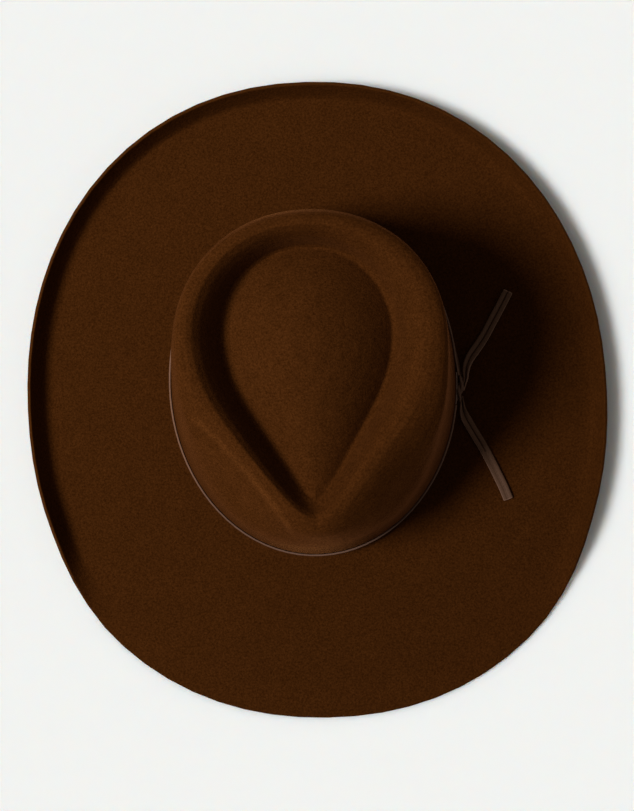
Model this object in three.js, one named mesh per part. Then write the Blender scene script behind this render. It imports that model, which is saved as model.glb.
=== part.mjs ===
// Rancher hat: a felt crown and brim in one piece, with a leather lace tied round the crown.
// Millimetres. +Z is up, the front of the hat faces -Y, and the wearer's left is +X.
// The origin is on the surface that the hat rests on, under the middle of the brim.
// Angles round the hat start at the back and turn towards the wearer's left.
import * as THREE from 'three';

// Felt
const feltWall = 2;

// Brim. Its cut edge is drawn in where it is turned up, round the back and both sides.
const brimWidth = 345;
const brimLength = 380;
const brimFullness = 2.14;
const brimSkew = 1;
const rimRise = 12;
const rimWidth = 9;
const rimPull = 5;
const rimCurl = 1.35;
const rimEndAngle = 125;
const rimFadeAngle = 24;

// Crown, measured over the felt at its base, and where its middle is on the brim
const crownWidth = 169.8;
const crownLength = 203.5;
const crownHeight = 105;
const crownBack = 10.6;
const crownSide = -1.5;
const crownFullness = 2.1;
const crownLean = 3;
const noseShift = 1.6;
const breakRadius = 2;

// Creases of the crown top
const grooveDepth = 22;
const domeRise = 21;
const domeCentre = 21;
const domeNose = 12;

// Lace
const laceGap = 0.3;
const laceThickness = 1.1;
const bandHeight = 5.5;
const bandLift = 1.9;
const bandLiftLength = 20;
const bandLiftBend = 1.6;
const tailWidth = 5.6;
const tailThickness = 1.5;
const tailRollLength = 16;
const tabThickness = 0.7;
const tabLength = 19;
const knotStation = 5;
const knotLength = 14.5;
const knotWidth = 4.2;
const knotHeight = 6.5;
const knotWraps = 3;
const knotWaist = 0.12;
const knotTaper = 0.12;
const knotFullness = 0.5;

// Facets
const aroundCount = 72;
const flatRows = 3;
const rimRows = 4;
const bandSteps = 84;
const tabSteps = 5;
const tailSteps = 15;
const knotRows = 12;
const knotSides = 10;

const feltColour = 0x3a1e08;
const laceColour = 0x4f3729;

const fullTurn = Math.PI * 2;
const up = new THREE.Vector3(0, 0, 1);

function table(columns, ...rows) {
  return rows.map((row) => Object.fromEntries(columns.map((column, i) => [column, row[i]])));
}

// Plan of each ring of the crown, as shares: side and nose of half the crown's width, and back, front and
// widest of half its length. full says how square the front of the oval is. pinch is how far the ring has
// passed from that oval to two legs that meet at a nose: nose is its radius, and leg says how fast the legs
// spread behind it. lean is how far the ring leans to the wearer's left, as a share of the crown's lean. drop
// is a share of the groove's depth, and rows is how many rows of facets lead to the next ring.
const crownRings = table(
  ['ring', 'side', 'back', 'front', 'widest', 'full', 'pinch', 'nose', 'leg', 'lean', 'drop', 'rows'],
  ['wall', 0.957, 0.985, 0.965, 0.06, 2.05, 0, 0, 0, 0.15, 0, 1],
  ['upper wall', 0.93, 0.968, 0.935, 0.12, 2.1, 0, 0, 0, 0.4, 0, 2],
  ['shoulder', 0.905, 0.95, 0.885, 0.2, 2.2, 0.55, 0.3, 0.48, 1, 0, 2],
  ['dent', 0.867, 0.92, 0.832, 0.2, 2, 1, 0.16, 0.47, 0.9, 0, 2],
  ['crest', 0.775, 0.87, 0.755, 0.21, 2, 1, 0.105, 0.46, 0.4, 0, 2],
  ['inner wall', 0.675, 0.805, 0.705, 0.21, 2, 1, 0.07, 0.4, 0.3, 0.42, 2],
  ['groove side', 0.605, 0.765, 0.65, 0.21, 2, 1, 0.055, 0.36, 0.3, 0.92, 1],
  ['groove', 0.575, 0.75, 0.628, 0.21, 2, 1, 0.05, 0.34, 0.3, 1, 1],
);

// Height of each ring at the back, the side, the front corner and the nose, as shares of the crown's height.
const crownHeights = table(
  ['ring', 'back', 'side', 'corner', 'nose'],
  ['wall', 0.45, 0.46, 0.34, 0.3],
  ['upper wall', 0.7, 0.735, 0.56, 0.54],
  ['shoulder', 0.875, 0.94, 0.71, 0.71],
  ['dent', 0.945, 0.995, 0.9, 0.83],
  ['crest', 0.97, 1.0, 0.955, 0.88],
  ['inner wall', 0.97, 1.0, 0.965, 0.935],
  ['groove side', 0.97, 1.0, 0.985, 1.01],
  ['groove', 0.97, 1.0, 0.985, 1.03],
);

// Rings of the dome, as shares of the groove's plan, from the groove in to the middle.
const domeShares = [0.9, 0.76, 0.6, 0.42, 0.2];

const cornerAngle = THREE.MathUtils.degToRad(130);

function aroundCrown(heights, angle) {
  const stations = [0, Math.PI / 2, cornerAngle, Math.PI];
  const values = [heights.back, heights.side, heights.corner, heights.nose];
  const curve = new THREE.CubicInterpolant(stations, values, 1);
  curve.settings = { endingStart: THREE.ZeroSlopeEnding, endingEnd: THREE.ZeroSlopeEnding };
  const turned = angle % fullTurn;
  const folded = Math.min(turned, fullTurn - turned);
  return curve.evaluate(folded)[0];
}

// Smooth lesser of two widths, so that a ring passes from its oval into its legs without a corner.
function lesser(first, second) {
  const sharpness = 9;
  const small = Math.min(first, second);
  const large = Math.max(first, second);
  return small / Math.pow(1 + Math.pow(small / large, sharpness), 1 / sharpness);
}

function oval(share, fullness) {
  return Math.pow(Math.max(0, 1 - Math.pow(share, fullness)), 1 / fullness);
}

function legWidth(ring, y) {
  const fromNose = y + ring.front;
  return Math.sqrt(Math.max(0, 2 * ring.nose * fromNose + ring.leg * fromNose * fromNose));
}

// Half the width of a ring, in millimetres, at a place along the hat.
function ringWidth(ring, y) {
  const behind = Math.max(0, (y - ring.widest) / (ring.back - ring.widest));
  const ahead = Math.max(0, (ring.widest - y) / (ring.widest + ring.front));
  const backWidth = ring.side * oval(behind, crownFullness);
  const legs = legWidth(ring, y);
  const pinched = backWidth > 0 && legs > 0 ? lesser(backWidth, legs) : 0;
  return THREE.MathUtils.lerp(backWidth * oval(ahead, ring.full), pinched, ring.pinch);
}

// How far a ring's middle line is moved to the wearer's left at a place along the hat.
function ringShift(ring, y) {
  const ahead = Math.max(0, (ring.widest - y) / (ring.widest + ring.front));
  return ring.lean * crownLean + ring.pinch * noseShift * ahead;
}

// Place along the hat of a ring at an angle, and the angle at such a place.
function ringPlace(ring, angle) {
  return (ring.back - ring.front) / 2 + ((ring.back + ring.front) / 2) * Math.cos(angle);
}

function ringAngle(ring, y) {
  const share = (2 * y - ring.back + ring.front) / (ring.back + ring.front);
  return Math.acos(THREE.MathUtils.clamp(share, -1, 1));
}

// Point of a ring, in millimetres from the crown's middle.
function ringPoint(ring, angle) {
  const y = ringPlace(ring, angle);
  const side = Math.sign(Math.sin(angle)) * ringWidth(ring, y);
  return new THREE.Vector2(side + ringShift(ring, y), y);
}

function sized(ring) {
  return {
    ...ring,
    side: (ring.side * crownWidth) / 2,
    nose: (ring.nose * crownWidth) / 2,
    back: (ring.back * crownLength) / 2,
    front: (ring.front * crownLength) / 2,
    widest: (ring.widest * crownLength) / 2,
  };
}

const plainOval = { side: 1, back: 1, front: 1, widest: 0, full: 2, pinch: 0, nose: 0, leg: 0, lean: 0 };
const baseRing = sized(plainOval);
const grooveRing = sized(crownRings[crownRings.length - 1]);

function ringHeight(i, angle) {
  return aroundCrown(crownHeights[i], angle) * crownHeight - crownRings[i].drop * grooveDepth;
}

// Fullness of the dome: rounded across the hat, and less towards the nose.
function domeFullness(across, y) {
  const width = ringWidth(grooveRing, y);
  return (width * width - across * across) / (legWidth(grooveRing, y) + domeNose);
}

// Point of the dome, which rises from the level of the groove beside it. share is 0 in its middle and 1 at
// the groove.
function domePoint(angle, share) {
  const edge = ringPoint(grooveRing, angle);
  const across = (edge.x - ringShift(grooveRing, edge.y)) * share;
  const y = THREE.MathUtils.lerp(domeCentre, edge.y, share);
  const level = ringHeight(crownRings.length - 1, ringAngle(grooveRing, y));
  const rise = (domeRise * domeFullness(across, y)) / domeFullness(0, domeCentre);
  return onCrown(new THREE.Vector2(across + ringShift(grooveRing, y), y), level + rise);
}

function onCrown(point, z) {
  return new THREE.Vector3(point.x + crownSide, point.y + crownBack, z);
}

// Point on the base of the crown, moved out from the felt by a distance.
function basePoint(angle, distance, z) {
  const step = 0.01;
  const before = ringPoint(baseRing, angle - step);
  const after = ringPoint(baseRing, angle + step);
  const along = after.sub(before).normalize();
  const point = ringPoint(baseRing, angle);
  return onCrown(new THREE.Vector2(point.x - along.y * distance, point.y + along.x * distance), z);
}

// Brim outline. The felt's lower edge stands out past its upper edge where the rim is turned up.
const rimSlope = Math.atan((rimRise * rimCurl) / rimWidth);

function rimUp(angle) {
  const turned = THREE.MathUtils.radToDeg(angle) % 360;
  const folded = Math.min(turned, 360 - turned);
  const fade = rimFadeAngle / 2;
  return 1 - THREE.MathUtils.smoothstep(folded, rimEndAngle - fade, rimEndAngle + fade);
}

function cutRadius(angle) {
  const x = Math.abs(Math.sin(angle)) / (brimWidth / 2 + rimPull);
  const y = Math.abs(Math.cos(angle)) / (brimLength / 2 + (rimPull * (1 + Math.cos(angle))) / 2);
  const round = Math.pow(Math.pow(x, brimFullness) + Math.pow(y, brimFullness), -1 / brimFullness);
  return round - brimSkew * Math.sin(2 * angle);
}

function brimPoint(angle, inset, z) {
  const radius = cutRadius(angle) - inset;
  return new THREE.Vector3(radius * Math.sin(angle), radius * Math.cos(angle), z);
}

// Rows of points across the felt's upper face, from the edge of the brim to the rim's crease.
function rimPoints(angle) {
  const raised = rimUp(angle);
  const edgeInset = (rimPull + feltWall * Math.sin(rimSlope)) * raised;
  const creaseInset = rimPull + rimWidth;
  const points = [];
  for (let row = 0; row <= rimRows; row += 1) {
    const share = 1 - row / rimRows;
    const inset = THREE.MathUtils.lerp(creaseInset, edgeInset, share);
    points.push(brimPoint(angle, inset, feltWall + rimRise * raised * Math.pow(share, rimCurl)));
  }
  return points;
}

// Flat of the brim, and the break where it turns up into the crown.
function flatPoints(angle, crease) {
  const foot = basePoint(angle, breakRadius, feltWall);
  const points = [];
  for (let row = 1; row < flatRows; row += 1) {
    points.push(crease.clone().lerp(foot, row / flatRows));
  }
  const halfway = breakRadius * (1 - Math.SQRT1_2);
  const bend = basePoint(angle, halfway, feltWall + halfway);
  const root = basePoint(angle, 0, feltWall + breakRadius);
  return [...points, foot, bend, root];
}

const bandBottom = feltWall + breakRadius + laceGap;
const bandTop = bandBottom + bandHeight;

// Crown from just above the lace to the middle of the dome, as a smooth curve through the rings.
function crownPoints(angle) {
  const keys = [basePoint(angle, 0, bandTop)];
  const rows = [1];
  crownRings.forEach((ring, i) => {
    keys.push(onCrown(ringPoint(sized(ring), angle), ringHeight(i, angle)));
    rows.push(ring.rows);
  });
  domeShares.forEach((share) => {
    keys.push(domePoint(angle, share));
    rows.push(1);
  });
  const curve = new THREE.CatmullRomCurve3(keys, false, 'centripetal');
  const points = [];
  for (let key = 0; key < keys.length - 1; key += 1) {
    for (let row = 0; row < rows[key]; row += 1) {
      points.push(curve.getPoint((key + row / rows[key]) / (keys.length - 1)));
    }
  }
  points.push(keys[keys.length - 1]);
  return points;
}

// Felt shell: the upper face, the lower face one wall below it, and the cut edge between them.
function feltGeometry() {
  const columns = [];
  for (let i = 0; i < aroundCount; i += 1) {
    const angle = (i * fullTurn) / aroundCount;
    const rim = rimPoints(angle);
    columns.push([...rim, ...flatPoints(angle, rim[rim.length - 1]), ...crownPoints(angle)]);
  }
  const rowCount = columns[0].length;
  const column = (i) => columns[(i + aroundCount) % aroundCount];
  const under = columns.map((points, i) => points.map((point, row) => {
    const across = points[Math.min(row + 1, rowCount - 1)].clone().sub(points[Math.max(row - 1, 0)]);
    const along = column(i + 1)[row].clone().sub(column(i - 1)[row]);
    const outward = across.cross(along).normalize();
    return point.clone().addScaledVector(outward, -feltWall);
  }));
  const top = domePoint(0, 0);
  const topUnder = top.clone().addScaledVector(up, -feltWall);

  const positions = [];
  const triangle = (a, b, c) => positions.push(...a.toArray(), ...b.toArray(), ...c.toArray());
  // Splits a four-cornered facet along its shorter diagonal.
  const facet = (a, b, c, d) => {
    if (a.distanceTo(c) <= b.distanceTo(d)) {
      triangle(a, b, c);
      triangle(a, c, d);
    } else {
      triangle(b, c, d);
      triangle(b, d, a);
    }
  };
  for (let i = 0; i < aroundCount; i += 1) {
    const next = (i + 1) % aroundCount;
    for (let row = 0; row < rowCount - 1; row += 1) {
      facet(columns[i][row], columns[i][row + 1], columns[next][row + 1], columns[next][row]);
      facet(under[next][row], under[next][row + 1], under[i][row + 1], under[i][row]);
    }
    triangle(columns[i][rowCount - 1], top, columns[next][rowCount - 1]);
    triangle(under[next][rowCount - 1], topUnder, under[i][rowCount - 1]);
    facet(columns[next][0], under[next][0], under[i][0], columns[i][0]);
  }
  const geometry = new THREE.BufferGeometry();
  geometry.setAttribute('position', new THREE.Float32BufferAttribute(positions, 3));
  geometry.computeVertexNormals();
  return geometry;
}

// Path of a flat lace. roll is its turn about its own length, 0 where it lies flat and 90 on edge.
class LacePath extends THREE.CatmullRomCurve3 {
  constructor(points, roll) {
    super(points, false, 'centripetal');
    this.roll = roll;
  }

  computeFrenetFrames(segments) {
    const frames = { tangents: [], normals: [], binormals: [] };
    for (let i = 0; i <= segments; i += 1) {
      const share = i / segments;
      const tangent = this.getTangentAt(share);
      const level = up.clone().cross(tangent).normalize();
      const normal = level.applyAxisAngle(tangent, THREE.MathUtils.degToRad(this.roll(share)));
      frames.tangents.push(tangent);
      frames.normals.push(normal);
      frames.binormals.push(tangent.clone().cross(normal));
    }
    return frames;
  }
}

function laceSection(width, thickness, corner) {
  const x = width / 2;
  const y = thickness / 2;
  const corners = corner > 0
    ? [[x, corner - y], [x, y - corner], [x - corner, y], [corner - x, y],
      [-x, y - corner], [-x, corner - y], [corner - x, -y], [x - corner, -y]]
    : [[x, -y], [x, y], [-x, y], [-x, -y]];
  return new THREE.Shape(corners.map(([across, through]) => new THREE.Vector2(across, through)));
}

function laceGeometry(path, section, steps) {
  return new THREE.ExtrudeGeometry(section, { steps, extrudePath: path });
}

// Angle round the crown's base, on the wearer's left, of a place along the hat.
function baseAngle(y) {
  return Math.acos((y - crownBack) / baseRing.back);
}

const onEdge = () => 90;
const bandZ = bandBottom + bandHeight / 2;
const tabFront = knotStation - tabLength / 2;
const knotBack = knotStation + knotLength / 2;

function bandGeometry() {
  const start = baseAngle(tabFront - laceGap);
  const end = baseAngle(knotBack + laceGap) + fullTurn;
  const points = [];
  const count = bandSteps / 2;
  for (let i = 0; i <= count; i += 1) {
    const angle = THREE.MathUtils.lerp(start, end, i / count);
    const toEnd = ((end - angle) * crownLength) / 2;
    const lift = bandLift * Math.pow(THREE.MathUtils.clamp(1 - toEnd / bandLiftLength, 0, 1), bandLiftBend);
    points.push(basePoint(angle, laceGap + laceThickness / 2 + lift, bandZ));
  }
  const section = laceSection(bandHeight, laceThickness, 0);
  return laceGeometry(new LacePath(points, onEdge), section, bandSteps);
}

function tabGeometry() {
  const points = [];
  for (let i = 0; i <= tabSteps; i += 1) {
    const y = tabFront + (tabLength * i) / tabSteps;
    points.push(basePoint(baseAngle(y), laceGap + tabThickness / 2, bandZ));
  }
  return laceGeometry(new LacePath(points, onEdge), laceSection(bandHeight, tabThickness, 0), tabSteps);
}

// Knot, a spindle with one swelling for each wrap of the lace.
function knotGeometry() {
  const profile = [new THREE.Vector2(0, -knotLength / 2)];
  for (let row = 0; row <= knotRows; row += 1) {
    const share = row / knotRows;
    const turn = THREE.MathUtils.lerp(knotTaper, 1 - knotTaper, share);
    const body = Math.pow(Math.sin(Math.PI * turn), knotFullness);
    const wrap = 1 - (knotWaist * (1 + Math.cos(fullTurn * knotWraps * share))) / 2;
    profile.push(new THREE.Vector2((knotWidth / 2) * body * wrap, knotLength * (share - 0.5)));
  }
  profile.push(new THREE.Vector2(0, knotLength / 2));
  const geometry = new THREE.LatheGeometry(profile, knotSides);
  geometry.scale(1, 1, knotHeight / knotWidth);
  return geometry;
}

// Routes of the two free ends, from the knot to where they lie on the brim.
const tailBackRoute = [
  [89.4, 11.0, 7.4], [89.5, 14.0, 7.2], [90.1, 17.5, 6.6], [91.4, 21.0, 5.6],
  [93.4, 24.4, 4.5], [95.8, 27.6, 3.6], [98.2, 30.8, 3.15], [100.5, 34.1, 3.05],
  [102.6, 37.5, 3.05], [104.6, 41.0, 3.05], [106.6, 44.5, 3.05], [108.6, 48.0, 3.05],
  [110.6, 51.5, 3.05], [112.6, 55.0, 3.05], [114.6, 58.6, 3.05], [116.5, 62.1, 3.05],
];
const tailFrontRoute = [
  [86.9, -3.2, 7.2], [87.1, -7.0, 6.9], [88.1, -11.0, 5.8], [89.9, -15.0, 4.5],
  [92.1, -19.0, 3.6], [94.2, -22.8, 3.15], [96.4, -26.6, 3.05], [98.5, -30.4, 3.05],
  [100.5, -34.3, 3.05], [102.4, -38.2, 3.05], [104.3, -42.2, 3.05], [106.1, -46.1, 3.05],
  [107.9, -50.1, 3.05], [109.7, -54.1, 3.05], [111.3, -58.2, 3.05], [112.8, -62.3, 3.05],
];

function tailGeometry(route) {
  const points = route.map(([x, y, z]) => new THREE.Vector3(x, y, z));
  const path = new LacePath(points, (share) => {
    const rolled = (share * path.getLength()) / tailRollLength;
    return 90 * (1 - THREE.MathUtils.smoothstep(rolled, 0, 1));
  });
  return laceGeometry(path, laceSection(tailWidth, tailThickness, tailThickness / 4), tailSteps);
}

const felt = new THREE.MeshStandardMaterial({ color: feltColour, roughness: 0.95, metalness: 0 });
const lace = new THREE.MeshStandardMaterial({ color: laceColour, roughness: 0.7, metalness: 0 });

function piece(name, geometry, material) {
  const mesh = new THREE.Mesh(geometry, material);
  mesh.name = name;
  return mesh;
}

const hat = new THREE.Group();
hat.add(piece('felt_body', feltGeometry(), felt));

const band = new THREE.Group();
band.add(piece('hat_band', bandGeometry(), lace));
band.add(piece('band_tab', tabGeometry(), lace));
const knot = piece('band_knot', knotGeometry(), lace);
const knotOut = laceGap + tabThickness + laceGap + knotWidth / 2;
knot.position.copy(basePoint(baseAngle(knotStation), knotOut, bandZ));
band.add(knot);
band.add(piece('tail_back', tailGeometry(tailBackRoute), lace));
band.add(piece('tail_front', tailGeometry(tailFrontRoute), lace));
hat.add(band);

export default hat;
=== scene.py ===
# Rancher hat of rust brown felt with a thin leather lace, on a pale floor in soft studio light.
# Metres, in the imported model's frame: +Z is up, the front faces -Y, and the wearer's left is +X.
# The origin is on the floor, under the middle of the brim.
import math

import bpy
from mathutils import Matrix
from mathutils import Vector
from mathutils import noise


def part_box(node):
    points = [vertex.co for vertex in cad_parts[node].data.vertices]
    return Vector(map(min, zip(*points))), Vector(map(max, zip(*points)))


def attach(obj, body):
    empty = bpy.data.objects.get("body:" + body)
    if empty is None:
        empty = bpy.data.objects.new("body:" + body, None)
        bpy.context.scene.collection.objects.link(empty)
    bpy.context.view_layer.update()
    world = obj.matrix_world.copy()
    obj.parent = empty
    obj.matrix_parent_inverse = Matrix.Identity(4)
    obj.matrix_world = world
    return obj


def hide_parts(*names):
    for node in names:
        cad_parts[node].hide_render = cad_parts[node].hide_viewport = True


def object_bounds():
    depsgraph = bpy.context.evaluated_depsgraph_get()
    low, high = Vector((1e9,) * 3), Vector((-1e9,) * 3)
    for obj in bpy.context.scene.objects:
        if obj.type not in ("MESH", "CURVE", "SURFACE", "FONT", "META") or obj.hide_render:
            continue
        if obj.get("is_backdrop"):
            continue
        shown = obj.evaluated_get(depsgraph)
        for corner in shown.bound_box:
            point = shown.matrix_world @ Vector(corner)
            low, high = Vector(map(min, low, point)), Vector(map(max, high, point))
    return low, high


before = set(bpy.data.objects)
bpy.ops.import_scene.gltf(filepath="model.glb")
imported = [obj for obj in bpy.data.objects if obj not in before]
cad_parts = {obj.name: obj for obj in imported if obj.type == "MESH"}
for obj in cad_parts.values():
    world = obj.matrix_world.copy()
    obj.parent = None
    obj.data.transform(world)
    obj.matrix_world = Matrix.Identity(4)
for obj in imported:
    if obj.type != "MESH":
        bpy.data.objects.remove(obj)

cad_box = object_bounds()
body = "root"
mm = 0.001

# Photo frame and camera
photo_rows = 811
metres_per_row = 0.0006
camera_height = 1.4
camera_left = 0.055
camera_aim_y = -0.00267
camera_roll = math.radians(1.8)

# Felt's wall and its cut edge, whose faces are narrow and lie in the outer part of the brim
felt_wall = 2 * mm
narrow_face = 1.1 * felt_wall
long_side = 2 * felt_wall
outer_share = 0.8
cut_edge_sharpness = 0.8

# Crown: the heights where it starts and is full, which also bound its painted light, its middle in plan, and
# how close its streaks lie
crown_foot = 12 * mm
crown_full = 60 * mm
crown_middle = Vector((-1.5 * mm, 10.6 * mm, 0))
streak_turns = 7
streak_rows = 1.1

# Crease on each side of the front, with a painted highlight along it, seen from above in millimetres, from
# the side to the front
wearers_right_crease = [
    (-68.6, -4.1), (-60.4, -12.2), (-51.9, -20.5), (-41.2, -33.5),
    (-29.6, -48.0), (-20.5, -61.4), (-14.0, -72.0), (-10.3, -78.0),
]
wearers_left_crease = [
    (61.4, 0.7), (56.7, -7.0), (50.9, -15.1), (44.5, -23.3), (38.7, -31.5),
    (32.3, -39.7), (26.4, -47.9), (20.5, -56.2), (15.7, -64.6), (12.0, -71.4),
]

# How strongly each crease's bead and painted highlight show, right and left, and the thin bead that both
# raise on the upper crown
crease_strengths = (1.0, 0.3)
crease_steps = 3
crease_bead = 0.5 * mm
crease_reach = 1.3 * mm
crease_fade = 12 * mm
crease_lowest = 60 * mm

# Deeper hollow of the pinch on the wearer's left, along the foot of its crease
pinch_middle = Vector((55.5 * mm, -44.5 * mm))
pinch_heading = Vector((0.5, 0.87))
pinch_length = 16 * mm
pinch_width = 6.5 * mm
pinch_depth = 3.0 * mm
pinch_lowest = 30 * mm

# Lace. Its outline is one half of its section, from the underside, as shares of half its width and half its
# thickness. The faces of its cut side and inside its fold are counted from the middle of the underside.
lace_width = 6.1 * mm
lace_thickness = 1.5 * mm
lace_outline = (
    (0.25, -1.2), (0.62, -1.2), (0.95, -0.9), (1.0, 0.1),
    (0.9, 0.8), (0.62, 1.0), (0.3, 1.0), (0.12, 0.5),
)
cut_side = (3, 4)
inside_fold = (8, 9)
least_half_width = 0.6 * mm
lace_wander = 0.15 * mm
wander_rate = 9

# Groove along the lace's upper side, with painted shade inside it. Where it is shallower than the least
# groove, its inside gets no painted shade.
lace_groove = 1.1 * mm
least_groove = 0.3 * lace_groove
groove_fade = 0.2

# Ends of the lace: the frayed square cut, and the part by the knot that is gathered narrow
route_steps = 4
lace_end_corner = 0.6 * mm
frayed_by = 0.6 * mm
fray_rate = 1.7
fray_layer = 3
gather_length = 6 * mm
gathered_by = 0.65

# Roll of the band where it comes to the knot from behind, its lower edge outwards and its upper edge inwards
band_roll = 0.8 * mm
band_roll_start = 36 * mm
band_roll_end = 13 * mm

# Bevels of the band and the tab. The band's edge is the faces that point up or down by more than its turn,
# and the tab's is those that point sideways by less than its turn.
band_bevel = 0.3 * mm
band_edge_turn = 0.75
tab_bevel = 0.2 * mm
tab_edge_turn = 0.6

# Knot: each strand's radius and place beside the middle, and how the pair is stretched, twisted and set
strand_reach = 1.3 * mm
strand_offset = 1.0 * mm
knot_stretch = 1.12
knot_twist = math.radians(-380)
knot_height_share = 1.55
knot_lean = math.radians(10)
knot_shift = Vector((-0.7 * mm, 0.2 * mm, 1.0 * mm))

# Ways of the lace's two free ends: tucked inside the knot, then from it to where they lie on the brim
tail_back_tucked = [
    (0.0874, 0.0036, 0.0058), (0.0885, 0.0074, 0.0069),
]
tail_back_route = [
    (0.0894, 0.0110, 0.0074), (0.0895, 0.0140, 0.0072), (0.0901, 0.0175, 0.0066),
    (0.0914, 0.0210, 0.0056), (0.0934, 0.0244, 0.0045), (0.0958, 0.0276, 0.0036),
    (0.0982, 0.0308, 0.00315), (0.1005, 0.0341, 0.00305), (0.1026, 0.0375, 0.00305),
    (0.1046, 0.0410, 0.00305), (0.1066, 0.0445, 0.00305), (0.1086, 0.0480, 0.00305),
    (0.1106, 0.0515, 0.00305), (0.1126, 0.0550, 0.00305), (0.1146, 0.0586, 0.00305),
    (0.1165, 0.0621, 0.00305),
]
tail_front_tucked = [
    (0.0865, 0.0002, 0.0066),
]
tail_front_route = [
    (0.0869, -0.0032, 0.0072), (0.0871, -0.0070, 0.0069), (0.0881, -0.0110, 0.0058),
    (0.0899, -0.0150, 0.0045), (0.0921, -0.0190, 0.0036), (0.0942, -0.0228, 0.00315),
    (0.0964, -0.0266, 0.00305), (0.0985, -0.0304, 0.00305), (0.1005, -0.0343, 0.00305),
    (0.1024, -0.0382, 0.00305), (0.1043, -0.0422, 0.00305), (0.1061, -0.0461, 0.00305),
    (0.1079, -0.0501, 0.00305), (0.1097, -0.0541, 0.00305), (0.1113, -0.0582, 0.00305),
    (0.1128, -0.0623, 0.00305),
]

# Felt's colour. A gain is for red, green and blue. A range is where a texture starts and where it is full.
nap_scale = 880
nap_range = (0.33, 0.67)
cloud_scale = 60
cloud_range = (0.35, 0.75)
cloud_gain = (0.9, 0.9, 0.9)
streak_scale = 1
streak_range = (0.35, 0.7)
streak_gain = (1.13, 1.13, 1.13)
# Painted light: the crown lighter than the brim
crown_painted_light_gain = (1.12, 1.13, 1.18)
# Painted light: the felt lighter towards the wearer's right, on the key light's side, and towards the back,
# and darker towards the wearer's left and the front
painted_falloff_slope = (-1.0, 0.45, 0)
painted_falloff_middle = 0.98
# Painted highlight along the front creases
crease_highlight_gain = (1.45, 1.5, 1.6)
# Painted light: the rows of the upturned rim nearest the cut edge a little lighter
rim_rows = (4.3, 3.9)
rim_painted_light_gain = (1.04, 1.04, 1.04)

# Felt's fuzz, a painted sheen that the nap shows edge on, most on the slopes that face its side, away from
# the key light
sheen_edge_range = (0.44, 0.86)
painted_sheen_gain = (2.0, 2.1, 3.4)
painted_sheen_side = (1, 0, 0)
least_sheen_share = 0.15

# Felt's sheen and its bumps, soft and fine
sheen_weight = 0.15
sheen_roughness = 0.25
sheen_tint = (0.5, 0.19, 0.055, 1)
soft_bump_scale = 330
fine_bump_scale = 1500
felt_bump = 0.25 * mm

# Lace's colour and bumps. The painted light range runs along Y, and the painted light makes the lace paler
# towards its end.
grain_scale = 1300
grain_range = (0.3, 0.7)
patch_scale = 160
patch_range = (0.25, 1.3)
painted_light_range = (-66 * mm, -28 * mm)
lace_painted_light_gain = (1.5, 1.45, 1.35)
lace_bump = 0.12 * mm

# Floor and light
floor_size = 8
floor_colour = (0.88, 0.888, 0.867)
floor_scatter = 9 * mm
floor_scatter_shares = (1.0, 0.85, 0.75)
key_strength = 3.45
key_softness = math.radians(20)
key_height = math.radians(52)
key_forwards = -0.05
fill_strength = 0.17

# Places of the finishes on a piece: its face, its cut edge, and the painted shade inside its fold
face_finish = 0
cut_finish = 1
groove_shade_finish = 2

# Joining a solid's facets into a skin of quads
weld_distance = 0.001 * mm
widest_fold = math.radians(60)
widest_skew = math.radians(120)


def make_camera():
    data = bpy.data.cameras.new("photo_camera")
    camera = bpy.data.objects.new("photo_camera", data)
    bpy.context.collection.objects.link(camera)
    data.lens = data.sensor_width * camera_height / (photo_rows * metres_per_row)
    eye = Vector((camera_left, camera_aim_y, camera_height))
    back = (eye - Vector((0, camera_aim_y, 0))).normalized()
    right = Vector((math.sin(camera_roll), math.cos(camera_roll), 0)).cross(back).normalized()
    turn = Matrix((right, back.cross(right), back)).transposed()
    camera.matrix_world = Matrix.Translation(eye) @ turn.to_4x4()
    bpy.context.scene.camera = camera


# Finishes

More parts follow.
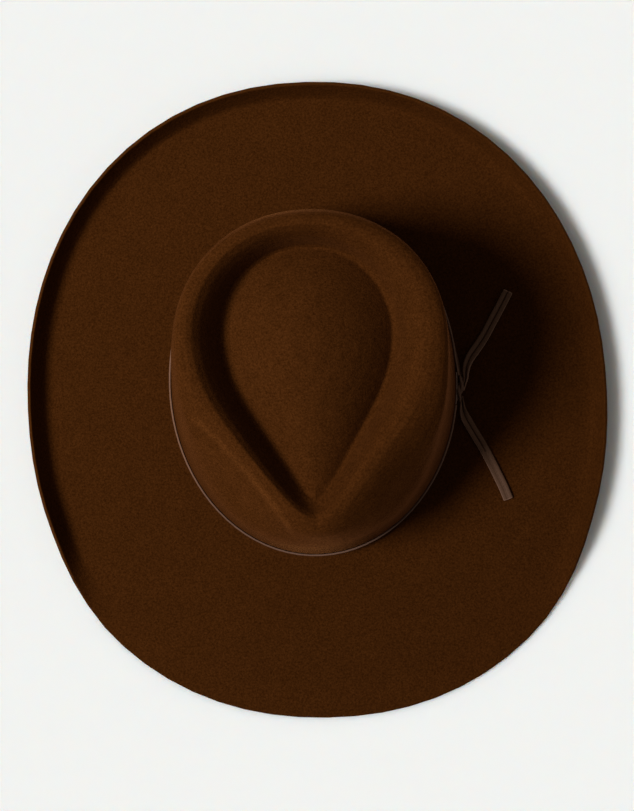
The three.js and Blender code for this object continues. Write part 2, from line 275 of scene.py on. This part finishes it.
class Finish:
    """A material under construction: its shader, and short ways to add textures to it."""

    def __init__(self, name, roughness, specular):
        self.material = bpy.data.materials.new(name)
        self.material.use_nodes = True
        self.tree = self.material.node_tree
        self.shader = self.tree.nodes["Principled BSDF"]
        self.shader.inputs["Roughness"].default_value = roughness
        self.shader.inputs["Specular IOR Level"].default_value = specular
        self.place = self.tree.nodes.new("ShaderNodeTexCoord").outputs["Object"]

    def link(self, source, target):
        self.tree.links.new(source, target)

    def grain(self, scale, detail=2.0, rough=0.5, place=None):
        texture = self.tree.nodes.new("ShaderNodeTexNoise")
        texture.inputs["Scale"].default_value = scale
        texture.inputs["Detail"].default_value = detail
        texture.inputs["Roughness"].default_value = rough
        self.link(place or self.place, texture.inputs["Vector"])
        return texture.outputs["Fac"]

    def spread(self, value, low, high):
        node = self.tree.nodes.new("ShaderNodeMapRange")
        node.inputs["From Min"].default_value = low
        node.inputs["From Max"].default_value = high
        self.link(value, node.inputs["Value"])
        return node.outputs["Result"]

    def coordinate(self, axis):
        node = self.tree.nodes.new("ShaderNodeSeparateXYZ")
        self.link(self.place, node.inputs["Vector"])
        return node.outputs[axis]

    def value_of(self, attribute):
        node = self.tree.nodes.new("ShaderNodeAttribute")
        node.attribute_name = attribute
        return node.outputs["Fac"]

    def vector_of(self, attribute):
        return self.value_of(attribute).node.outputs["Vector"]

    def product(self, first, second):
        node = self.tree.nodes.new("ShaderNodeMath")
        node.operation = "MULTIPLY"
        self.link(first, node.inputs[0])
        self.link(second, node.inputs[1])
        return node.outputs["Value"]

    def painted_sheen_share(self, painted_sheen_side, least):
        """Share of the painted sheen on the nap, least on the slopes that face away from its side."""
        turned = self.tree.nodes.new("ShaderNodeVectorMath")
        turned.operation = "DOT_PRODUCT"
        self.link(self.tree.nodes.new("ShaderNodeNewGeometry").outputs["Normal"], turned.inputs[0])
        turned.inputs[1].default_value = painted_sheen_side
        ramp = self.spread(turned.outputs["Value"], -1, 1)
        ramp.node.inputs["To Min"].default_value = least
        return ramp

    def edge_on(self, start, full):
        """How far the surface is turned edge on, where the fibres of the nap and its painted sheen show."""
        node = self.tree.nodes.new("ShaderNodeLayerWeight")
        node.inputs["Blend"].default_value = 0.5
        ramp = self.spread(node.outputs["Facing"], start, full)
        ramp.node.interpolation_type = "SMOOTHSTEP"
        return ramp

    def sloping(self, slope, middle):
        """A value that changes evenly across the piece, so much for each metre along each axis."""
        across = self.tree.nodes.new("ShaderNodeVectorMath")
        across.operation = "DOT_PRODUCT"
        self.link(self.place, across.inputs[0])
        across.inputs[1].default_value = slope
        total = self.tree.nodes.new("ShaderNodeMath")
        total.inputs[1].default_value = middle
        self.link(across.outputs["Value"], total.inputs[0])
        return total.outputs["Value"]

    def scaled(self, colour, gain):
        """A colour made lighter or darker by a value, or by a gain for each of its channels."""
        node = self.tree.nodes.new("ShaderNodeVectorMath")
        node.operation = "MULTIPLY"
        self.link(colour, node.inputs[0])
        if isinstance(gain, tuple):
            node.inputs[1].default_value = gain
        else:
            self.link(gain, node.inputs[1])
        return node.outputs["Vector"]

    def mixed(self, share, first, second):
        node = self.tree.nodes.new("ShaderNodeMix")
        node.data_type = "RGBA"
        self.link(share, node.inputs["Factor"])
        for socket, value in (("A", first), ("B", second)):
            colour = next(i for i in node.inputs if i.name == socket and i.type == "RGBA")
            if isinstance(value, tuple):
                colour.default_value = (*value, 1)
            else:
                self.link(value, colour)
        return next(o for o in node.outputs if o.type == "RGBA")

    def colour(self, value):
        if isinstance(value, tuple):
            self.shader.inputs["Base Color"].default_value = (*value, 1)
        else:
            self.link(value, self.shader.inputs["Base Color"])

    def bump(self, height, depth, under=None):
        node = self.tree.nodes.new("ShaderNodeBump")
        node.inputs["Distance"].default_value = depth
        self.link(height, node.inputs["Height"])
        if under:
            self.link(under, node.inputs["Normal"])
        self.link(node.outputs["Normal"], self.shader.inputs["Normal"])
        return node.outputs["Normal"]


def felt_finish(name, dark, light):
    """Felt with a short nap: mottled, with painted light making it lighter on the crown, on its creases and
    rim, and towards the wearer's right and back, and with a painted sheen seen edge on.
    """
    finish = Finish(name, roughness=1.0, specular=0.0)
    finish.shader.inputs["Sheen Weight"].default_value = sheen_weight
    finish.shader.inputs["Sheen Roughness"].default_value = sheen_roughness
    finish.shader.inputs["Sheen Tint"].default_value = sheen_tint
    nap = finish.grain(nap_scale, detail=4, rough=0.75)
    cloud = finish.grain(cloud_scale, detail=3, rough=0.55)
    streak = finish.grain(streak_scale, detail=2, place=finish.vector_of("around"))
    speck = finish.mixed(finish.spread(nap, *nap_range), dark, light)
    felt = finish.mixed(finish.spread(cloud, *cloud_range), finish.scaled(speck, cloud_gain), speck)
    combed = finish.mixed(finish.spread(streak, *streak_range), felt, finish.scaled(felt, streak_gain))
    # Painted light: the crown lighter, rising from its foot to where it is full
    crown_lit = finish.scaled(combed, crown_painted_light_gain)
    whole = finish.mixed(finish.spread(finish.coordinate("Z"), crown_foot, crown_full), felt, crown_lit)
    # Painted light falling off across the hat
    painted_falloff = finish.scaled(whole, finish.sloping(painted_falloff_slope, painted_falloff_middle))
    # Painted highlight along the front creases
    crease_highlight = finish.mixed(finish.value_of("crease_highlight"), painted_falloff, finish.scaled(painted_falloff, crease_highlight_gain))
    # Painted light on the rim
    rim = finish.spread(finish.value_of("row"), *rim_rows)
    rim_lit = finish.mixed(rim, crease_highlight, finish.scaled(crease_highlight, rim_painted_light_gain))
    # Painted sheen: lighter edge on, most on the slopes that face away from the key light
    painted_sheen = finish.product(finish.edge_on(*sheen_edge_range), finish.painted_sheen_share(painted_sheen_side, least_sheen_share))
    finish.colour(finish.mixed(painted_sheen, rim_lit, finish.scaled(rim_lit, painted_sheen_gain)))
    soft = finish.bump(finish.grain(soft_bump_scale, detail=2), felt_bump)
    finish.bump(finish.grain(fine_bump_scale, detail=2, rough=0.7), felt_bump, under=soft)
    return finish.material


def lace_finish(name, dark, light):
    """Matt leather, made paler towards the knot and the back by painted light."""
    finish = Finish(name, roughness=0.7, specular=0.12)
    grain = finish.grain(grain_scale, detail=3, rough=0.6)
    patch = finish.grain(patch_scale, detail=2)
    speck = finish.mixed(finish.spread(grain, *grain_range), dark, light)
    leather = finish.mixed(finish.spread(patch, *patch_range), speck, light)
    # Painted light: the lace paler from the front tail's end towards the knot and the back
    painted_light_share = finish.spread(finish.coordinate("Y"), *painted_light_range)
    finish.colour(finish.mixed(painted_light_share, leather, finish.scaled(leather, lace_painted_light_gain)))
    finish.bump(grain, lace_bump)
    return finish.material


def floor_finish():
    finish = Finish("pale_floor", roughness=0.95, specular=0.1)
    finish.shader.inputs["Subsurface Weight"].default_value = 1.0
    finish.shader.inputs["Subsurface Scale"].default_value = floor_scatter
    finish.shader.inputs["Subsurface Radius"].default_value = floor_scatter_shares
    finish.colour(floor_colour)
    return finish.material


# The two colours between which each finish is mottled
felt_face = felt_finish("felt_face", (0.026, 0.0072, 0.0011), (0.068, 0.0209, 0.0042))
felt_cut = felt_finish("felt_cut_edge", (0.034, 0.01, 0.0018), (0.07, 0.022, 0.0044))
lace_face = lace_finish("lace_face", (0.046, 0.0215, 0.0115), (0.084, 0.041, 0.023))
# Painted light: a lighter copy of the lace, for the knot
lace_knot_lit = lace_finish("lace_knot_lit", (0.062, 0.031, 0.019), (0.11, 0.056, 0.035))
# Painted shade: darker lace for the inside of the groove
lace_groove_shade = lace_finish("lace_groove_shade", (0.022, 0.0085, 0.0035), (0.036, 0.0145, 0.0065))
lace_cut = lace_finish("lace_cut_edge", (0.085, 0.043, 0.027), (0.15, 0.078, 0.05))
lace_raw = lace_finish("lace_raw_edge", (0.12, 0.07, 0.052), (0.2, 0.12, 0.09))


# Modelling helpers

def deselect():
    bpy.ops.object.select_all(action="DESELECT")


def work_on(piece):
    deselect()
    piece.select_set(True)
    bpy.context.view_layer.objects.active = piece


def edit(piece):
    work_on(piece)
    bpy.ops.object.mode_set(mode="EDIT")
    bpy.ops.mesh.select_all(action="SELECT")


def leave_edit():
    bpy.ops.object.mode_set(mode="OBJECT")


def new_piece(name, vertices, faces):
    mesh = bpy.data.meshes.new(name)
    mesh.from_pydata(vertices, [], faces)
    piece = bpy.data.objects.new(name, mesh)
    bpy.context.collection.objects.link(piece)
    return piece


def copy_of_node(node, name):
    """A piece that starts as a CAD node's solid, with its facets joined into one skin of quads."""
    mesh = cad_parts[node].data.copy()
    mesh.materials.clear()
    piece = bpy.data.objects.new(name, mesh)
    bpy.context.collection.objects.link(piece)
    work_on(piece)
    bpy.ops.mesh.customdata_custom_splitnormals_clear()
    edit(piece)
    bpy.ops.mesh.remove_doubles(threshold=weld_distance)
    bpy.ops.mesh.tris_convert_to_quads(face_threshold=widest_fold, shape_threshold=widest_skew)
    leave_edit()
    return piece


def apply_modifier(piece, kind, **settings):
    modifier = piece.modifiers.new(kind.lower(), kind)
    for setting, value in settings.items():
        setattr(modifier, setting, value)
    work_on(piece)
    bpy.ops.object.modifier_apply(modifier=modifier.name)


def subdivide(piece, levels):
    apply_modifier(piece, "SUBSURF", levels=levels, render_levels=levels)


def finish_piece(piece, slot, materials, *nodes):
    """Gives a piece its materials, smooth shading and body, and the nodes that it stands for. Its slot is
    not used.
    """
    for material in materials:
        piece.data.materials.append(material)
    for face in piece.data.polygons:
        face.use_smooth = True
    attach(piece, body)
    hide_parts(*nodes)


def smooth_step(value, low, high):
    share = min(1, max(0, (value - low) / (high - low)))
    return share * share * (3 - 2 * share)


# Lace ends

def smooth_route(points, steps):
    """A finer line through the points of a route, as a Catmull-Rom curve."""
    route = [Vector(point) for point in points]
    ends = [2 * route[0] - route[1]] + route + [2 * route[-1] - route[-2]]
    line = []
    for before, start, stop, after in zip(ends, ends[1:], ends[2:], ends[3:]):
        for step in range(steps):
            t = step / steps
            line.append(0.5 * (
                2 * start
                + (stop - before) * t
                + (2 * before - 5 * start + 4 * stop - after) * t * t
                + (3 * start - before - 3 * stop + after) * t * t * t
            ))
    line.append(route[-1])
    return line


def line_length(line):
    return sum((b - a).length for a, b in zip(line, line[1:]))


def lobed_section(fold, width, thickness, groove):
    """Outline of a lace creased along its middle, as (across, up), from the middle of its underside."""
    right = []
    for share, level in lace_outline:
        across = share * width / 2
        up = level * thickness / 2
        side = across * math.cos(fold) - up * math.sin(fold)
        height = across * math.sin(fold) + up * math.cos(fold)
        right.append(Vector((max(side, share * least_half_width), height)))
    left = [Vector((-p.x, p.y)) for p in reversed(right)]
    return [Vector((0, -thickness / 2))] + right + [Vector((0, thickness / 2 - groove))] + left


def make_tail(name, node, tucked, route, exit_fold, end_fold, open_share, groove_share):
    """A free end of the lace, creased along its middle. It is folded up where it leaves the knot, is open
    from the open share of its length on, and ends in a frayed square cut. Its groove runs to the groove
    share, or to the cut where that is past 1. The tucked points are its way inside the knot."""
    length = line_length(smooth_route(route, route_steps))
    line = smooth_route(tucked + route, route_steps)
    hidden = line_length(line) - length
    line.insert(-1, line[-1] + (line[-2] - line[-1]).normalized() * lace_end_corner)
    vertices = []
    faces = []
    finishes = []
    done = -hidden
    for i, point in enumerate(line):
        ahead = line[min(i + 1, len(line) - 1)]
        behind = line[max(i - 1, 0)]
        done += (point - behind).length if i else 0
        share = max(0, done / length)
        along = (ahead - behind).normalized()
        across = along.cross(Vector((0, 0, 1))).normalized()
        above = across.cross(along)
        fold = exit_fold + (end_fold - exit_fold) * smooth_step(share, 0, open_share)
        groove = lace_groove * (1 - smooth_step(share, groove_share - groove_fade, groove_share))
        wander = lace_wander * noise.noise(Vector((share * wander_rate, len(name), 0)))
        width = (lace_width + wander) * (1 - gathered_by * smooth_step(-done, -gather_length, hidden))
        section = lobed_section(fold, width, lace_thickness, groove)
        first = len(vertices)
        count = len(section)
        last = i == len(line) - 1
        for k, p in enumerate(section):
            fray = frayed_by * noise.noise(Vector((k * fray_rate, len(name), fray_layer))) if last else 0
            vertices.append(point + across * p.x + above * p.y + along * fray)
        if i:
            for k in range(count):
                after = (k + 1) % count
                faces.append((first - count + k, first - count + after, first + after, first + k))
                if k in cut_side or last:
                    finishes.append(cut_finish)
                elif k in inside_fold and groove > least_groove:
                    finishes.append(groove_shade_finish)
                else:
                    finishes.append(face_finish)
    for start in (0, len(vertices) - count):
        middle = len(vertices)
        vertices.append(sum(vertices[start:start + count], Vector()) / count)
        for k in range(count):
            faces.append((start + k, start + (k + 1) % count, middle))
            finishes.append(cut_finish if start else face_finish)
    tail = new_piece(name, vertices, faces)
    for material in (lace_face, lace_cut, lace_groove_shade):
        tail.data.materials.append(material)
    for face, finish in zip(tail.data.polygons, finishes):
        face.material_index = finish
    edit(tail)
    bpy.ops.mesh.normals_make_consistent(inside=False)
    leave_edit()
    subdivide(tail, 1)
    finish_piece(tail, "lace", (), node)
    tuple(line[0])


# Band, tab and knot

def make_band():
    """The lace round the crown, standing on edge."""
    band = copy_of_node("hat_band", "lace_band")
    low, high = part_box("hat_band")
    for vertex in band.data.vertices:
        if vertex.co.x > 0 and vertex.co.y > 0:
            rolled = 1 - smooth_step(vertex.co.y, band_roll_end, band_roll_start)
            level = (2 * vertex.co.z - low.z - high.z) / (high.z - low.z)
            outward = (vertex.co - crown_middle).xy.normalized()
            vertex.co -= (outward * band_roll * rolled * level).to_3d()
    apply_modifier(band, "BEVEL", width=band_bevel, segments=2, limit_method="ANGLE")
    finish_piece(band, "lace", (lace_face, lace_cut), "hat_band")
    for face in band.data.polygons:
        face.material_index = cut_finish if abs(face.normal.z) > band_edge_turn else face_finish


def make_tab():
    """The thin end of the lace that lies against the crown behind the knot."""
    tab = copy_of_node("band_tab", "lace_tab")
    apply_modifier(tab, "BEVEL", width=tab_bevel, segments=2, limit_method="ANGLE")
    finish_piece(tab, "lace", (lace_face, lace_raw), "band_tab")
    for face in tab.data.polygons:
        face.material_index = cut_finish if abs(face.normal.x) < tab_edge_turn else face_finish


def make_knot():
    """Two rolled strands of the lace, twisted round each other."""
    low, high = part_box("band_knot")
    size = high - low
    strands = []
    for side in (-1, 1):
        deselect()
        bpy.ops.mesh.primitive_uv_sphere_add(segments=16, ring_count=32, radius=1, location=(0, 0, 0),
                                             rotation=(math.pi / 2, 0, 0))
        strand = bpy.context.object
        bpy.ops.object.transform_apply(location=True, rotation=True, scale=True)
        edit(strand)
        bpy.ops.transform.resize(value=(strand_reach, size.y * knot_stretch / 2, strand_reach))
        bpy.ops.transform.translate(value=(side * strand_offset, 0, 0))
        leave_edit()
        strands.append(strand)
    knot = strands[0]
    work_on(knot)
    strands[1].select_set(True)
    bpy.ops.object.join()
    knot.name = "lace_knot"
    apply_modifier(knot, "SIMPLE_DEFORM", deform_method="TWIST", deform_axis="Y", angle=knot_twist)
    edit(knot)
    bpy.ops.transform.resize(value=(1, 1, knot_height_share), center_override=(0, 0, 0))
    bpy.ops.transform.rotate(value=knot_lean, orient_axis="Z", center_override=(0, 0, 0))
    bpy.ops.transform.translate(value=(low + high) / 2 + knot_shift)
    leave_edit()
    subdivide(knot, 1)
    finish_piece(knot, "lace", (lace_knot_lit,), "band_knot")


# Felt

def mark_cut_edge(felt):
    """Gives the narrow faces between the felt's two sides their own finish, and selects and returns the
    edges along them."""
    mesh = felt.data
    reach = max(vertex.co.y for vertex in mesh.vertices)
    cut = set()
    for face in mesh.polygons:
        sides = [(mesh.vertices[a].co - mesh.vertices[b].co).length for a, b in face.edge_keys]
        face.select = min(sides) < narrow_face and face.center.xy.length > outer_share * reach
        if face.select:
            face.material_index = cut_finish
            cut.update(key for key, side in zip(face.edge_keys, sides) if side > long_side)
    for edge in mesh.edges:
        edge.select = edge.key in cut
    return cut


def mark_rows(felt, cut):
    """Keeps on each point how many rows of the skin lie between it and the cut edge."""
    mesh = felt.data
    neighbours = [[] for _ in mesh.vertices]
    for edge in mesh.edges:
        if edge.key not in cut:
            for a, b in (edge.vertices, reversed(edge.vertices)):
                neighbours[a].append(b)
    rows = {point: 0 for key in cut for point in key}
    ring = list(rows)
    while ring:
        following = []
        for point in ring:
            for neighbour in neighbours[point]:
                if neighbour not in rows:
                    rows[neighbour] = rows[point] + 1
                    following.append(neighbour)
        ring = following
    stored = mesh.attributes.new("row", "FLOAT", "POINT")
    for point, row in rows.items():
        stored.data[point].value = row


def distance_to_line(point, line):
    """Shortest distance in plan from a point to a line, and how far from the line's nearer end it falls."""
    best = None
    done = 0.0
    total = line_length(line)
    for a, b in zip(line, line[1:]):
        side = b - a
        share = min(1, max(0, (point - a).dot(side) / side.length_squared))
        away = (point - a - side * share).length
        along = done + side.length * share
        if best is None or away < best[0]:
            best = (away, min(along, total - along))
        done += side.length
    return best


def deepen_pinch(felt):
    """Presses the hollow of the pinch deeper, most at its middle and not at all low on the wall."""
    for vertex in felt.data.vertices:
        away = vertex.co.xy - pinch_middle
        along = away.dot(pinch_heading) / pinch_length
        across = away.cross(pinch_heading) / pinch_width
        pressed = math.exp(-0.5 * (along * along + across * across))
        vertex.co.z -= pinch_depth * pressed * smooth_step(vertex.co.z, pinch_lowest, crown_full)


def mark_creases(felt):
    """Raises a thin bead along each front crease, and keeps on each point how much painted highlight it
    gets.
    """
    mesh = felt.data
    crease_highlight = mesh.attributes.new("crease_highlight", "FLOAT", "POINT")
    lines = [smooth_route([(x * mm, y * mm, 0) for x, y in crease], crease_steps)
             for crease in (wearers_right_crease, wearers_left_crease)]
    for vertex in mesh.vertices:
        if vertex.co.z < crease_lowest:
            continue
        plan = Vector((vertex.co.x, vertex.co.y, 0))
        raised = 0
        for line, strength in zip(lines, crease_strengths):
            away, inside = distance_to_line(plan, line)
            near = math.exp(-0.5 * (away / crease_reach) ** 2)
            raised = max(raised, strength * near * smooth_step(inside, 0, crease_fade))
        outward = (plan - crown_middle).normalized() + Vector((0, 0, 1))
        crease_highlight.data[vertex.index].value = raised
        vertex.co += outward.normalized() * crease_bead * raised


def mark_around(felt):
    """Keeps on each point a place that runs round the crown and in along its rows, for combed streaks."""
    mesh = felt.data
    rows = mesh.attributes["row"]
    around = mesh.attributes.new("around", "FLOAT_VECTOR", "POINT")
    for vertex in mesh.vertices:
        heading = (vertex.co - crown_middle).xy.normalized() * streak_turns
        inward = rows.data[vertex.index].value * streak_rows
        around.data[vertex.index].vector = (heading.x, heading.y, inward)


def make_felt():
    """Crown and brim, one skin of felt. Its cut edge stays crisp when the skin is smoothed."""
    felt = copy_of_node("felt_body", "felt_shell")
    for material in (felt_face, felt_cut):
        felt.data.materials.append(material)
    cut = mark_cut_edge(felt)
    mark_rows(felt, cut)
    # The edges along the cut are still selected
    work_on(felt)
    bpy.ops.object.mode_set(mode="EDIT")
    bpy.ops.transform.edge_crease(value=cut_edge_sharpness)
    leave_edit()
    subdivide(felt, 2)
    mark_around(felt)
    deepen_pinch(felt)
    mark_creases(felt)
    finish_piece(felt, "felt", (), "felt_body")


def make_floor():
    deselect()
    bpy.ops.mesh.primitive_plane_add(size=floor_size, location=(0, 0, 0))
    floor = bpy.context.object
    floor.name = "floor"
    floor.data.materials.append(floor_finish())
    floor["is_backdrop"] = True


def make_light():
    """A soft key light from the wearer's right, and an even fill all round."""
    key = bpy.data.lights.new("key_light", "SUN")
    key.energy = key_strength
    key.angle = key_softness
    lamp = bpy.data.objects.new("key_light", key)
    bpy.context.collection.objects.link(lamp)
    towards = Vector((-math.cos(key_height), key_forwards, math.sin(key_height)))
    lamp.rotation_euler = towards.to_track_quat("Z", "Y").to_euler()
    world = bpy.data.worlds.new("studio")
    world.use_nodes = True
    fill = world.node_tree.nodes["Background"]
    fill.inputs["Color"].default_value = (1, 1, 1, 1)
    fill.inputs["Strength"].default_value = fill_strength
    bpy.context.scene.world = world
    bpy.context.scene.view_settings.view_transform = "Standard"


make_camera()
make_tail("lace_end_back", "tail_back", tail_back_tucked, tail_back_route,
          exit_fold=math.radians(56), end_fold=math.radians(10), open_share=0.34, groove_share=1.4)
make_tail("lace_end_front", "tail_front", tail_front_tucked, tail_front_route,
          exit_fold=math.radians(64), end_fold=math.radians(4), open_share=0.24, groove_share=0.6)
make_band()
make_tab()
make_knot()
make_felt()
make_floor()
make_light()

[[list(corner) for corner in box] for box in (cad_box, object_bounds())]
